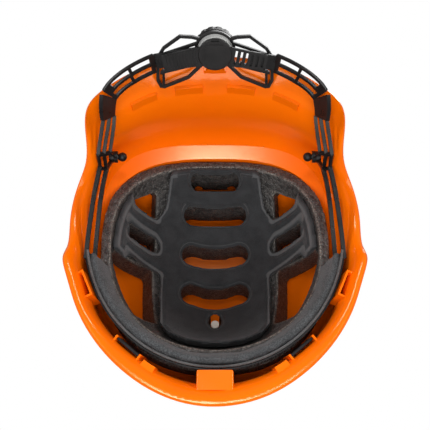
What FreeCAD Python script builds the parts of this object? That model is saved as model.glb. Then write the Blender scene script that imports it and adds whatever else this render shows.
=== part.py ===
import FreeCAD, Part

import math
import os

from FreeCAD import Placement, Rotation, Vector

# Arborist climbing helmet, in millimetres.
# +Z points to the crown and -Y to the front, and the helmet is symmetric about X = 0.
# The origin is the centre of the head opening, level with the rim at the front.

# ---- shell ----
WALL = 3.0
AXIS_Y = -12.0            # the radial planes of the shell meet on the line x = 0, y = AXIS_Y
LEDGE_Z = 50.0            # height of the inner ledge round the liner, at its outer edge
LEDGE_RISE = 2.6          # the ledge is this much higher at its inner edge
INNER_CROWN = 140.0
DOME_POWER = 2.2          # superellipse power of the dome's side view
DOME_STEPS = (10, 20, 31, 42, 53, 64, 75, 86)     # degrees from the dome's base to its crown
FLANGE_SHARE = 0.86       # the flange is straight this far in, and the bend ends this far up the wall
FOOT_SHARE = 0.05
SHOULDER_STEP = 24.0      # the outer skin's shoulder has faded out this many degrees up the dome
RIM_LAND = (1.4, 1.8)     # the rim's edge is cut back this far inside and this high outside

# Half of the rim, from the front centre to the rear centre: x, y, z, flange width, flange rise.
RIM = (
    (0.0, -148.0, 0.0, 14.0, 4.0),
    (42.4, -137.7, 0.0, 14.0, 4.0),
    (68.1, -120.1, -1.0, 13.0, 4.0),
    (85.6, -101.2, -2.0, 11.0, 4.5),
    (100.9, -74.8, -4.0, 9.0, 5.0),
    (109.0, -50.7, -5.0, 8.5, 5.0),
    (112.6, -36.0, -4.0, 8.5, 5.0),
    (110.8, -23.3, 4.0, 9.0, 5.0),
    (110.3, 3.4, 11.0, 9.0, 5.0),
    (105.3, 30.0, 8.0, 9.0, 7.0),
    (98.6, 43.0, -6.0, 9.0, 11.0),
    (97.7, 55.0, -20.0, 10.0, 15.0),
    (97.3, 78.0, -27.0, 16.0, 18.0),
    (82.2, 96.5, -28.0, 18.0, 18.0),
    (47.8, 116.2, -28.0, 19.0, 18.0),
    (0.0, 123.4, -28.0, 20.0, 18.0),
)

# Horizontal outlines: half width, front depth, rear depth, front power, rear power.
LEDGE_OUTER = (92.0, 103.0, 98.0, 2.33, 3.35)
LEDGE_INNER = (89.5, 97.5, 87.0, 2.25, 2.85)
LINER_INNER = (83.0, 81.0, 84.0, 2.05, 2.75)
PAD_LOWER = (97.0, 105.0, 105.0, 2.0, 2.0)
PAD_UPPER = (88.5, 91.0, 91.0, 2.0, 2.0)

# ---- liner and pads ----
LINER_CLEARANCE = 0.4
LINER_BASE = 20.0
LINER_CROWN = 112.0
LINER_RIM = ((-130, 42), (-90, 44), (-40, 43), (0, 42), (35, 45), (60, 52), (95, 60))   # y, z
PAD_THICKNESS = 6.0
FOREHEAD_LOW = 9.0
FOREHEAD_HIGH = 42.0
FOREHEAD_THICKNESS = 8.5
FOREHEAD_END = -23.5      # y of the pad's straight-cut ends
BAND_GAP = 0.4
BAND_PAD_ROOM = 0.3       # the part of that gap which the side rails stay out of
BAND_THICKNESS = 1.6
BAND_SETBACK = (2.0, 4.0) # of the band's edges from the pad's low and high edges

# ---- pivots of the rear half ----
PIVOT = Vector(77.0, 58.6, 18.0)
PIN_RADIUS = 2.0
PIN_CLEARANCE = 0.06

# ---- nape cradle: its own axes are X, +Y outwards along the knob, +Z up ----
NAPE_CENTRE = Vector(0.0, 109.0, -50.6)
NAPE_TILT = 34.0
STRAP_TILT = 10.0         # the size straps rise outwards
HOUSING_RADIUS = 13.6
COVER_RADIUS = 12.8
KNOB_RADIUS = 15.0
GEAR_MODULE = 0.75
GEAR_TEETH = 10
PITCH_RADIUS = GEAR_MODULE * GEAR_TEETH / 2
RACK_TRAVEL = 21.6
RACK_HEIGHT = 12.0
LAYER_LEFT = (3.0, 5.2)   # the two racks pass each other in two layers
LAYER_RIGHT = (5.6, 7.8)
WING_LAYER = (8.4, 11.0)
HOUSING_BACK = 13.2
KNOB_LAYER = (14.0, 21.2)


# ---- moulded details inside the shell ----
FAR = 200.0               # beyond the whole helmet
PAST = 1.0                # every cutting body runs this far past the face that it cuts
POCKET_WALL = 1.5
SIDE_SLOT_LINE = ((97.8, -43.4), (89.8, -63.0))
SIDE_SLOT_DEPTH = 5.8
SIDE_SLOT_HEIGHT = (2.0, 25.0)
SIDE_SLOT_LEAN = 12.0
CLIP_LINE = ((71.0, -93.4), (52.8, -109.2))
CLIP_POCKET_DEPTH = 5.4
CLIP_POCKET_HEIGHT = (4.0, 22.0)
TAB_HALF_WIDTH = 13.3
TAB_OUTLINE = ((-135.4, 3.2), (-120.5, 3.2), (-120.5, 28.0), (-125.3, 28.0))     # y, z
TAB_DEPTH = 3.0
TAB_WALL = 2.0
TAB_ROUND = 1.6
REAR_BOX_HALF = 8.6
REAR_BOX_OUTLINE = ((112.0, -23.5), (112.0, -17.6), (119.2, -24.0), (118.4, -28.2))
FLANGE_PADS = (           # raised pads along the bend of the rear flange
    ((9.5, 103.9, -9.6), (20.0, 103.2, -9.6), (31.0, 101.5, -9.6)),
    ((45.4, 97.7, -9.6), (55.5, 93.1, -9.6), (64.6, 87.5, -9.6)),
)
FLANGE_PAD = (7.0, 3.0, 1.0)          # height, thickness, lean
FRONT_BLOCK_PATH = ((43.0, -119.6, 9.0), (47.2, -117.0, 9.0), (51.4, -113.8, 9.0))
FRONT_BLOCK = (13.0, 5.0, 3.2)

# ---- headlamp clips in the front pockets ----
CLIP_THICKNESS = 2.2
CLIP_EDGE = 0.8
CLIP_HEIGHT = (5.0, 20.0)
CLIP_LEAN = 15.0
CLIP_GAP = 0.3            # between the bar and its pocket's end walls
CLIP_SETBACK = 0.4        # of the bar behind the end walls' inner edges

# ---- windows of the liner, and the crown pad (x, y) ----
WINDOW_LEVEL = 85.0       # the height at which the windows' outlines are given
LINER_WINDOWS = (         # lean in x and y for each mm of height, then the outline
    ((0.25, 0.45), ((49, 36), (76, 33), (78, 50), (52, 60))),
    ((0.30, 0.0), ((47, 5), (84, 13), (84, 25), (47, 25))),
    ((0.40, 0.0), ((47, -56), (74, -58), (96, -12), (91, -4), (47, -5))),
)
SLOT_MARGIN = 2.0
PAD_SLOTS = (             # half width, front y, rear y, bow towards the front at the middle
    (19.7, 55.0, 64.5, 0.4),
    (25.8, 34.3, 47.3, 1.0),
    (27.5, 3.0, 20.0, 2.5),
    (28.0, -32.0, -13.0, 4.0),
    (5.3, -56.5, -39.5, 0.4),
)
PAD_HALF_OUTLINE = (
    (-0.5, -79.0), (22.0, -77.0), (36.0, -70.5), (43.5, -59.0), (45.0, -30.0), (44.8, -10.0), (52.0, -7.0),
    (69.0, -1.0), (71.5, -7.0), (81.0, -7.0), (82.0, 20.0), (76.0, 48.0), (67.0, 48.0), (63.0, 35.5),
    (47.0, 33.5), (41.0, 42.0), (36.5, 60.0), (32.0, 68.5), (-0.5, 72.0),
)
PAD_SIDE_WINDOW = ((45.5, 9.5), (50.0, 8.0), (69.0, 12.0), (69.0, 24.5), (49.0, 20.5), (45.5, 16.0))
PAD_WINDOW_CORNER = 1.5
SLOT_END_SHARE = 0.9      # how much of a slot's half width its round end may take up
PAD_RIM = ((-80, 60), (-40, 48), (0, 46), (40, 50), (80, 54))
PLUG = Vector(0.0, -52.5, 97.0)
PLUG_HEAD = (3.2, 2.0, 0.8)       # radius, thickness, edge radius
PLUG_SHANK = 1.8
PLUG_CLEARANCE = 0.2
PLUG_LENGTH = 14.0

# ---- headband and side arms: straps are height, thickness, lean ----
HOOK_BAR = ((-10.0, -122.6, 22.0), (10.0, -108.0, 25.0))      # the front hook's low and high corners
HOOK_Y = -118.5
HOOK_HOLE = 2.5
EYE_RADIUS = 4.6
BAND_EYE = (79.2, 81.8)
ARM_EYE = (76.0, 78.8)
BALL_RADIUS = 3.6
PIN_INNER = 72.6
PIN_OUTER = 83.1
PIN_HEAD = (3.2, 1.2)     # radius, thickness
FRONT_RAIL = (4.4, 3.0, 0.0)
FRONT_RAILS = (
    ((97.0, -30.0, 13.0), (96.0, -16.0, 10.5), (94.0, 4.0, 8.0), (91.4, 24.0, 4.5), (87.9, 41.0, 1.0)),
    ((92.3, -30.0, 30.0), (91.4, -16.0, 26.0), (89.9, 4.0, 22.0), (87.6, 26.0, 16.0), (83.6, 43.5, 8.8)),
)
STRUT = (3.4, 2.6, 0.0)
FRONT_STRUTS = (
    ((83.7, 42.6, 9.2), (82.6, 49.0, 13.5), (80.6, 54.8, 17.4)),
    ((88.0, 40.2, 1.2), (85.8, 41.6, 5.0), (83.8, 43.0, 8.6)),
)
ARM_RAIL = (2.8, 2.6, 0.0)
ARM_RAILS = (
    ((88.6, 45.6, -11.0), (87.8, 50.5, -14.5), (86.4, 58.0, -19.0), (83.9, 71.8, -27.8)),
    ((84.8, 48.6, -6.6), (84.0, 53.0, -9.8), (82.4, 60.7, -14.5), (79.9, 73.0, -24.3)),
    ((80.6, 52.8, -1.0), (79.9, 56.5, -4.0), (78.4, 62.9, -10.0), (76.6, 74.0, -20.5)),
)
ARM_STRUTS = (
    ((77.4, 56.4, 15.6), (78.6, 54.2, 8.0), (80.6, 52.6, -1.0)),
    ((88.9, 45.4, -11.2), (84.8, 48.4, -6.4), (80.4, 52.6, -0.8)),
)
TAB_PATH = ((81.2, 69.6, -24.0), (81.4, 76.0, -29.2), (80.6, 83.2, -33.1))
TAB_SECTION = (15.5, 3.6, 8.5)
NAPE_STRAP_PATH = ((79.6, 85.4, -34.6), (73.5, 90.8, -38.0), (61.8, 98.6, -41.2), (53.5, 103.6, -41.6),
                   (46.9, 107.4, -41.0))
NAPE_STRAP_SECTION = (16.0, 2.2, 6.5)
NAPE_RAIL = 2.2
NAPE_WINDOW_STEPS = 4
NAPE_WINDOW_PAST = 3.0    # the windows' bodies reach this far past both faces
NAPE_WINDOWS = ((0.10, 0.50), (0.56, 0.94))

# ---- size adjuster details ----
HOUSING_WALL = 1.6
HOUSING_LIP = 0.4         # the housing starts this far inside the first strap layer
STRAP_CLEARANCE = (0.3, 0.4)      # round the size straps, along and across the knob's axis
COVER_LAYER = (1.2, 2.6)
COVER_EDGE = 0.8
COVER_BOSS = (7.5, 8.5, 0.8, 3.0)         # half width, half height, rise, corner
COVER_NOTCH = (3.0, 0.9, 1.2, 11.6)       # half width, half height, depth, distance from the axis
COVER_ARM = (8.0, 40.0, 8.0, 6.2)         # start, reach, half height at the start and at the tip
COVER_ARM_CORNER = 1.5
RIB_COUNT = 10
RIB_START = 1.0           # from the housing's edge
RIB_ROOTED = 0.1
RIB_PITCH = 2.5
RIB_WIDTH = 1.25
RIB_RISE = 0.8
RIB_SETBACK = 0.8
SLOT_COUNT = 6
SLOT_START = 1.5          # from the housing's edge
SLOT_PITCH = 4.1
SLOT_WIDTH = 1.7
SLOT_SETBACK = 2.0
RACK_OUTER = 46.5
RACK_INNER = 8.6
RACK_END = 6.0            # the toothed slot runs this far past the pinion's travel
RACK_CLEARANCE = 0.35
RACK_TOOTH = (0.62, 0.3)  # half width at the root and at the tip
RACK_ROOT = PITCH_RADIUS + 1.25 * GEAR_MODULE
RACK_TIP = PITCH_RADIUS - 0.7 * GEAR_MODULE
RACK_ROOTED = 0.2         # a tooth starts this deep in the bar
GEAR_ROOT = PITCH_RADIUS - 1.1 * GEAR_MODULE
GEAR_TIP = PITCH_RADIUS + 0.9 * GEAR_MODULE
GEAR_TOOTH = (0.17, 0.075)        # half angle at the root and at the tip, in radians
GEAR_OVERLAP = 0.2        # the pinion stands this far past the two strap layers
SHAFT_RADIUS = 2.6
SHAFT_DEPTH = 4.0         # of the shaft in the knob
GRIP = 0.02               # radial gap of the pieces that are pressed or screwed together
SCREW_RADIUS = 1.25
SCREW_START = 8.0
SCREW_HEAD = (3.0, 2.2)   # radius, thickness
SCREW_SUNK = 0.4
SCREW_CROSS = (2.2, 0.4, 1.2)     # half length, half width, depth
DETENT_LAYER = (9.6, 11.4)
DETENT_RADII = (10.4, 11.9)
DETENT_FINGER = (0.7, 5.6)        # half width, distance of its tip from the axis
KNOB_CHAMFER = 1.2
SCREW_WELL = (3.3, 2.6)   # radius, depth
SCALLOPS = 14
SCALLOP = (2.4, 1.6, 2.0)         # radius, distance outside the knob's edge, start above its low face
COLLAR_WIDTH = 2.0
WING_BAR = 2.4
WING_OUTLINE = (
    (9.0, -9.6), (17.0, -11.8), (26.7, -12.4), (39.8, -2.4), (44.6, 5.8), (45.0, 25.0), (42.2, 31.0),
    (38.6, 31.6), (19.6, 23.3), (9.0, 12.5),
)
WING_STRUTS = (
    ((38.4, 16.0), (40.4, 16.0), (40.4, 30.0), (38.4, 30.0)),
    ((13.0, 9.4), (42.0, 17.6), (42.0, 20.0), (13.0, 12.2)),
    ((13.0, -7.0), (41.0, 3.0), (41.0, 5.2), (13.0, -4.6)),
)

# ---------------------------------------------------------------- helpers

def mirrored(shape):
    return shape.mirror(Vector(0, 0, 0), Vector(1, 0, 0))


def pair(shape):
    """The shape and its mirror image, fused."""
    return shape.fuse(mirrored(shape))


def sided(shape, side):
    """The shape, made for +X, moved to the side asked for."""
    return shape if side > 0 else mirrored(shape)


def box(low, high):
    size = Vector(*high) - Vector(*low)
    return Part.makeBox(size.x, size.y, size.z, Vector(*low))


def cylinder(radius, start, end):
    axis = end - start
    return Part.makeCylinder(radius, axis.Length, start, axis)


def prism(outline, low, high, corner=0.0):
    """An upright prism over a closed outline of (x, y), with its upright edges rounded."""
    points = [Vector(x, y, low) for x, y in outline]
    solid = Part.Face(Part.makePolygon(points + points[:1])).extrude(Vector(0, 0, high - low))
    if corner:
        upright = [e for e in solid.Edges if abs(e.tangentAt(e.FirstParameter).z) > 0.99]
        solid = solid.makeFillet(corner, upright)
    return solid


def polar(x, y):
    """Angle from the front, and distance, about the shell's upright axis."""
    return math.atan2(x, AXIS_Y - y), math.hypot(x, y - AXIS_Y)


def outline_radius(angle, outline):
    width, front, rear, front_power, rear_power = outline
    along = math.cos(angle)
    depth, power = (front, front_power) if along > 0 else (rear, rear_power)
    across = abs(math.sin(angle)) / width
    return (across ** power + (abs(along) / depth) ** power) ** (-1 / power)


def ring(stations):
    """A closed smooth wire through (angle, radius, z) of the right half and its mirror image."""
    right = [Vector(r * math.sin(a), AXIS_Y - r * math.cos(a), z) for a, r, z in stations]
    left = [Vector(-p.x, p.y, p.z) for p in reversed(right[1:-1])]
    curve = Part.BSplineCurve()
    curve.interpolate(Points=right + left, PeriodicFlag=True)
    return Part.Wire(curve.toShape())


ANGLES = [polar(x, y)[0] for x, y, z, width, rise in RIM]


def level_ring(outline, z, scale=1.0, inset=0.0):
    """A level closed wire on an outline, scaled about the upright axis."""
    return ring([(a, scale * (outline_radius(a, outline) - inset), z) for a in ANGLES])


def mixed(first, second, share):
    """The outline that lies between two outlines."""
    return [a + (b - a) * share for a, b in zip(first, second)]


def dome_rings(outline, base, crown, inset=0.0, foot=None):
    """Level wires that rise over a superellipse dome, nearly to its crown, from a wider foot if given."""
    rings = []
    for step in DOME_STEPS:
        turn = math.radians(step)
        scale = math.cos(turn) ** (2 / DOME_POWER)
        rise = math.sin(turn) ** (2 / DOME_POWER)
        share = min(1.0, step / SHOULDER_STEP)
        level = mixed(foot, outline, share) if foot else outline
        rings.append(level_ring(level, base + (crown - base) * rise, scale, inset))
    return rings


def dome_solid(outline, low, base, crown, inset=0.0):
    """A solid dome with an upright wall from low to base."""
    walls = [level_ring(outline, z, 1.0, inset) for z in (low, (low + base) / 2, base)]
    return Part.makeLoft(walls + dome_rings(outline, base, crown, inset), True)


def sewn_solid(shapes):
    """A closed solid from faces that share their edges."""
    shell = Part.makeShell([face for shape in shapes for face in shape.Faces])
    shell.sewShape()
    solid = Part.makeSolid(shell)
    if solid.Volume < 0:
        solid.reverse()
    return solid


def ribbon(path, height, thickness, lean=0.0, sections=10):
    """A strap along a smooth path through its middle; its top leans lean mm towards the head."""
    curve = Part.BSplineCurve()
    curve.interpolate([Vector(*p) for p in path])
    wires = []
    for step in range(sections):
        at = curve.FirstParameter + (curve.LastParameter - curve.FirstParameter) * step / (sections - 1)
        centre = curve.value(at)
        along = curve.tangent(at)[0]
        inward = Vector(0, 0, 1).cross(along)
        inward.normalize()
        if inward.dot(Vector(-centre.x, AXIS_Y - centre.y, 0)) < 0:
            inward = -inward
        up = Vector(0, 0, height) + inward * lean
        up = (up - along * up.dot(along)) * 0.5
        out = along.cross(up)
        out.normalize()
        out = out * (thickness / 2)
        corners = [centre + up + out, centre - up + out, centre - up - out, centre + up - out]
        wires.append(Part.makePolygon(corners + corners[:1]))
    return Part.makeLoft(wires, True)


def on_nape(shape):
    """Carries a shape from the cradle's own axes into the helmet's."""
    placed = shape.copy()
    placed.Placement = Placement(NAPE_CENTRE, Rotation(Vector(1, 0, 0), NAPE_TILT)).multiply(shape.Placement)
    return placed


def disc(radius, low, high):
    """A disc about the knob's axis."""
    return cylinder(radius, Vector(0, low, 0), Vector(0, high, 0))


def turned(shape, angle):
    """The shape turned about the knob's axis, in degrees."""
    copy = shape.copy()
    copy.rotate(Vector(0, 0, 0), Vector(0, 1, 0), angle)
    return copy


# ---------------------------------------------------------------- shell

def skin_profile(station, offset):
    """Radius and height up one radial plane, from the rim to the ledge, offset outwards."""
    x, y, z, width, rise = station
    angle, radius = polar(x, y)
    rim = Vector(radius, 0, z)
    bend = Vector(radius - width, 0, z + rise)
    ledge = Vector(outline_radius(angle, LEDGE_OUTER), 0, LEDGE_Z)
    flange_out = Vector(rise, 0, width).normalize()
    wall_out = Vector(ledge.z - bend.z, 0, bend.x - ledge.x).normalize()
    flange = rim + (bend - rim) * FLANGE_SHARE + flange_out * offset
    foot = bend + (ledge - bend) * FOOT_SHARE + wall_out * offset
    middle = bend + (ledge - bend) * 0.5 + wall_out * offset
    return [flange, foot, middle, ledge + wall_out * offset]


def skin_rings(offset):
    profiles = [skin_profile(station, offset) for station in RIM]
    rows = zip(*profiles)
    return [ring([(a, p.x, p.z) for a, p in zip(ANGLES, row)]) for row in rows]


def rim_ring(inset, lift):
    stations = [polar(x, y) + (z,) for x, y, z, width, rise in RIM]
    return ring([(a, r - inset, z + lift) for a, r, z in stations])


def shell_skin():
    """The moulding without its pockets: an outer and an inner skin joined round the rim."""
    inset, lift = RIM_LAND
    rim_inner = rim_ring(inset, 0.0)
    rim_outer = rim_ring(0.0, lift)
    inner_wall = [rim_inner] + skin_rings(0.0)
    ledge_edge = level_ring(LEDGE_INNER, LEDGE_Z + LEDGE_RISE)
    inner_dome = [ledge_edge] + dome_rings(LEDGE_INNER, LEDGE_Z, INNER_CROWN)
    outer_wall = [rim_outer] + skin_rings(WALL)
    outer_dome = dome_rings(LEDGE_INNER, LEDGE_Z, INNER_CROWN + WALL, -WALL, LEDGE_OUTER)
    outer = outer_wall + outer_dome
    return sewn_solid([
        Part.makeLoft(inner_wall, False),
        Part.makeLoft([inner_wall[-1], ledge_edge], False, True),
        Part.makeLoft(inner_dome, False),
        Part.Face(inner_dome[-1]),
        Part.makeLoft([rim_inner, rim_outer], False, True),
        Part.makeLoft(outer, False),
        Part.Face(outer[-1]),
    ])


def moulded_walls(corner_a, corner_b, depth, low, high, lean, closed):
    """Thin walls on the inside of the skin: two end walls that reach out into it, and if closed
    the long side between them. They lean inwards with the skin."""
    a = Vector(*corner_a, 0)
    b = Vector(*corner_b, 0)
    along = (b - a).normalize()
    out = Vector(along.y, -along.x, 0)
    if out.dot(Vector(a.x, a.y - AXIS_Y, 0)) < 0:
        out = -out
    strips = [(a, a + along * POCKET_WALL, depth), (b - along * POCKET_WALL, b, depth)]
    if closed:
        strips.append((a, b, POCKET_WALL))
    walls = []
    for start, end, reach in strips:
        corners = (start, end, end + out * reach, start + out * reach)
        walls.append(leaning(prism([(p.x, p.y) for p in corners], low, high), a, b, low, lean))
    return walls


def leaning(shape, a, b, low, angle):
    """The shape turned inwards about the line from a to b at height low."""
    axis = b - a
    if axis.cross(Vector(0, 0, 1)).dot(Vector(-a.x, AXIS_Y - a.y, 0)) < 0:
        axis = -axis
    copy = shape.copy()
    copy.rotate(Vector(a.x, a.y, low), axis, angle)
    return copy


def side_plate(outline, left, right):
    """A plate with a side-view outline of (y, z), between two x."""
    corners = [Vector(left, y, z) for y, z in outline]
    return Part.Face(Part.makePolygon(corners + corners[:1])).extrude(Vector(right - left, 0, 0))


def front_tab():
    """The hollow boss behind the middle of the peak that the headband hooks into."""
    block = side_plate(TAB_OUTLINE, -TAB_HALF_WIDTH, TAB_HALF_WIDTH)
    rear, low = TAB_OUTLINE[1]
    high = TAB_OUTLINE[2][1]
    half = TAB_HALF_WIDTH - TAB_WALL
    hollow = box((-half, rear - TAB_DEPTH, low + TAB_WALL), (half, rear + PAST, high - TAB_WALL))
    edges = [e for e in block.Edges if abs(abs(e.CenterOfMass.x) - TAB_HALF_WIDTH) < 1e-6]
    return block.makeFillet(TAB_ROUND, edges).cut(hollow)


def rear_box():
    """The open box moulded onto the middle of the rear flange."""
    starts = (-REAR_BOX_HALF, REAR_BOX_HALF - POCKET_WALL)
    sides = [side_plate(REAR_BOX_OUTLINE, x, x + POCKET_WALL) for x in starts]
    front, low = REAR_BOX_OUTLINE[0]
    high = REAR_BOX_OUTLINE[1][1]
    return sides + [box((-REAR_BOX_HALF, front, low), (REAR_BOX_HALF, front + POCKET_WALL, high))]


def ribbons(paths, section):
    """Moulded straps along the given paths, on both sides."""
    straps = [ribbon(path, *section) for path in paths]
    return straps + [mirrored(strap) for strap in straps]


def outer_shell():
    details = moulded_walls(*SIDE_SLOT_LINE, SIDE_SLOT_DEPTH, *SIDE_SLOT_HEIGHT, SIDE_SLOT_LEAN, True)
    details += moulded_walls(*CLIP_LINE, CLIP_POCKET_DEPTH, *CLIP_POCKET_HEIGHT, CLIP_LEAN, False)
    details += [mirrored(wall) for wall in details]
    details += ribbons(FLANGE_PADS, FLANGE_PAD) + ribbons([FRONT_BLOCK_PATH], FRONT_BLOCK)
    return shell_skin().fuse(details + [front_tab()] + rear_box())


# ---------------------------------------------------------------- liner and pads

def side_cut(profile, top):
    """The slab above a side-view line of (y, z) and below top, which is what a dome is trimmed to."""
    reach = RIM[0][1]
    points = [Vector(reach, y, z) for y, z in profile]
    points += [Vector(reach, profile[-1][0], top), Vector(reach, profile[0][0], top)]
    return Part.Face(Part.makePolygon(points + points[:1])).extrude(Vector(-2 * reach, 0, 0))


def eps_liner():
    outer = dome_solid(LEDGE_INNER, LINER_BASE, LEDGE_Z, INNER_CROWN, LINER_CLEARANCE)
    inner = dome_solid(LINER_INNER, LINER_BASE - 10, LINER_BASE, LINER_CROWN)
    liner = outer.cut(inner).common(side_cut(LINER_RIM, INNER_CROWN + 10))
    for lean, outline in LINER_WINDOWS:
        liner = liner.cut(pair(leaning_window(lean, outline)))
    for slot in PAD_SLOTS:
        liner = liner.cut(slot_body(slot, SLOT_MARGIN))
    return liner.cut(plug_body(PLUG_SHANK + PLUG_CLEARANCE))


def slot_body(slot, margin):
    """A slot across the middle, grown by margin: its ends are round and its long sides bow by an arc."""
    half_width, front, rear, bow = slot
    half_width += margin
    front -= margin
    rear += margin
    radius = min((rear - front) / 2, half_width * SLOT_END_SHARE)
    straight = half_width - radius
    middle = (front + rear) / 2
    stops = (
        (-straight, front), (0, front - bow), (straight, front), (half_width, middle),
        (straight, rear), (0, rear - bow), (-straight, rear), (-half_width, middle), (-straight, front),
    )
    points = [Vector(x, y, LINER_BASE) for x, y in stops]
    arcs = [Part.Arc(*points[start:start + 3]).toShape() for start in (0, 2, 4, 6)]
    return Part.Face(Part.Wire(arcs)).extrude(Vector(0, 0, INNER_CROWN - LINER_BASE))


def leaning_window(lean, outline):
    """A hole's body that leans outwards as it rises through the foam."""
    wires = []
    for z in (LINER_BASE, INNER_CROWN):
        rise = z - WINDOW_LEVEL
        points = [Vector(x + lean[0] * rise, y + lean[1] * rise, z) for x, y in outline]
        wires.append(Part.makePolygon(points + points[:1]))
    return Part.makeLoft(wires, True)


def crown_pad():
    base = LINER_BASE + PAST
    inset = LINER_CLEARANCE + PAD_THICKNESS
    outer = dome_solid(LINER_INNER, LINER_BASE, base, LINER_CROWN - LINER_CLEARANCE, LINER_CLEARANCE)
    inner = dome_solid(LINER_INNER, LINER_BASE - PAST, base, LINER_CROWN - inset, inset)
    slab = outer.cut(inner).common(side_cut(PAD_RIM, INNER_CROWN))
    outline = pair(prism(PAD_HALF_OUTLINE, LINER_BASE, INNER_CROWN))
    pad = slab.common(outline.removeSplitter())
    for slot in PAD_SLOTS:
        pad = pad.cut(slot_body(slot, 0.0))
    pad = pad.cut(pair(prism(PAD_SIDE_WINDOW, LINER_BASE, INNER_CROWN, PAD_WINDOW_CORNER)))
    return pad.cut(plug_body(PLUG_SHANK + PLUG_CLEARANCE))


def plug_body(radius):
    return cylinder(radius, PLUG, PLUG + Vector(0, 0, PLUG_LENGTH))


def crown_pad_plug():
    radius, thickness, edge = PLUG_HEAD
    head = Part.makeCylinder(radius, thickness, PLUG - Vector(0, 0, thickness))
    head = head.makeFillet(edge, head.Edges[0])
    return head.fuse(plug_body(PLUG_SHANK)).removeSplitter()


def band_solid(gap, thickness, low, high):
    """A leaning band round the forehead, between the two pad outlines grown by gap."""
    def cone(grow):
        rings = []
        for step in (0.0, 0.5, 1.0):
            z = low + (high - low) * step
            share = (z - FOREHEAD_LOW) / (FOREHEAD_HIGH - FOREHEAD_LOW)
            rings.append(level_ring(mixed(PAD_LOWER, PAD_UPPER, share), z, 1.0, -grow))
        return Part.makeLoft(rings, True)
    front_half = box((-FAR, -FAR, low - PAST), (FAR, FOREHEAD_END, high + PAST))
    return cone(gap + thickness).cut(cone(gap)).common(front_half)


def forehead_pad():
    return band_solid(-FOREHEAD_THICKNESS, FOREHEAD_THICKNESS, FOREHEAD_LOW, FOREHEAD_HIGH)


# ---------------------------------------------------------------- headband and side arms

def pivot_eye(low, high):
    """A round eye about the pivot's axis, between two distances from the middle, and its hole."""
    ring_body = cylinder(EYE_RADIUS, Vector(low, PIVOT.y, PIVOT.z), Vector(high, PIVOT.y, PIVOT.z))
    start = Vector(low - PAST, PIVOT.y, PIVOT.z)
    return ring_body, cylinder(PIN_RADIUS + PIN_CLEARANCE, start, Vector(high + PAST, PIVOT.y, PIVOT.z))


def headband_front():
    """The band behind the forehead pad, its front hook, and the rails and eye of each side."""
    low, high = BAND_SETBACK
    band = band_solid(BAND_GAP, BAND_THICKNESS, FOREHEAD_LOW + low, FOREHEAD_HIGH - high)
    hole = cylinder(HOOK_HOLE, Vector(0, HOOK_Y, 0), Vector(0, HOOK_Y, LEDGE_Z))
    hook = box(*HOOK_BAR).cut(hole)
    eye, pin_hole = pivot_eye(*BAND_EYE)
    rails = [ribbon(path, *FRONT_RAIL) for path in FRONT_RAILS]
    struts = [ribbon(path, *STRUT) for path in FRONT_STRUTS]
    side_frame = eye.fuse(rails + struts).cut(pin_hole)
    return band.fuse([hook, side_frame, mirrored(side_frame)]).cut(forehead_clearance())


def forehead_clearance():
    """The pad's own space with a little room round it, which the rails stay out of."""
    thickness = FOREHEAD_THICKNESS + BAND_PAD_ROOM
    return band_solid(-FOREHEAD_THICKNESS, thickness, FOREHEAD_LOW, FOREHEAD_HIGH)


def pivot_pin(side):
    """A stud with a ball head inside and a flat head outside, turned about the pivot's axis."""
    head_radius, head_thickness = PIN_HEAD
    reach = math.sqrt(BALL_RADIUS ** 2 - PIN_RADIUS ** 2)
    ball = Part.Arc(Vector(PIN_INNER - BALL_RADIUS, 0, 0), Vector(PIN_INNER, BALL_RADIUS, 0),
                    Vector(PIN_INNER + reach, PIN_RADIUS, 0)).toShape()
    steps = [(PIN_INNER + reach, PIN_RADIUS), (PIN_OUTER - head_thickness, PIN_RADIUS),
             (PIN_OUTER - head_thickness, head_radius), (PIN_OUTER, head_radius), (PIN_OUTER, 0),
             (PIN_INNER - BALL_RADIUS, 0)]
    outline = Part.Wire([ball] + Part.makePolygon([Vector(x, y, 0) for x, y in steps]).Edges)
    pin = Part.Face(outline).revolve(Vector(0, 0, 0), Vector(1, 0, 0), 360)
    pin.translate(Vector(0, PIVOT.y, PIVOT.z))
    return sided(pin, side)


def side_arm(side):
    """Eye, strut, three rails and the solid tab."""
    eye, pin_hole = pivot_eye(*ARM_EYE)
    pieces = [ribbon(path, *ARM_RAIL) for path in ARM_RAILS]
    pieces += [ribbon(path, *STRUT) for path in ARM_STRUTS]
    pieces.append(ribbon(TAB_PATH, *TAB_SECTION))
    return sided(eye.fuse(pieces).cut(pin_hole), side)


def nape_strap(side):
    """The three-rail strap from the tab round to the size adjuster."""
    strap = ribbon(NAPE_STRAP_PATH, *NAPE_STRAP_SECTION)
    for window in nape_strap_windows():
        strap = strap.cut(window)
    return sided(strap, side)


def nape_strap_windows():
    """Two rows of long windows leave three rails and the cross bars."""
    height, thickness, lean = NAPE_STRAP_SECTION
    row_height = (height - 3 * NAPE_RAIL) / 2
    curve = Part.BSplineCurve()
    curve.interpolate([Vector(*p) for p in NAPE_STRAP_PATH])
    length = curve.LastParameter - curve.FirstParameter
    windows = []
    for begin, end in NAPE_WINDOWS:
        for level in (-1, 1):
            path = []
            for step in range(NAPE_WINDOW_STEPS + 1):
                share = begin + (end - begin) * step / NAPE_WINDOW_STEPS
                point = curve.value(curve.FirstParameter + length * share)
                inward = Vector(-point.x, AXIS_Y - point.y, 0).normalize()
                shift = level * (row_height + NAPE_RAIL) / 2
                path.append(tuple(point + Vector(0, 0, shift) + inward * (shift * lean / height)))
            depth = thickness + 2 * NAPE_WINDOW_PAST
            windows.append(ribbon(path, row_height, depth, lean * row_height / height))
    return windows


# ---------------------------------------------------------------- size adjuster

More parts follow.
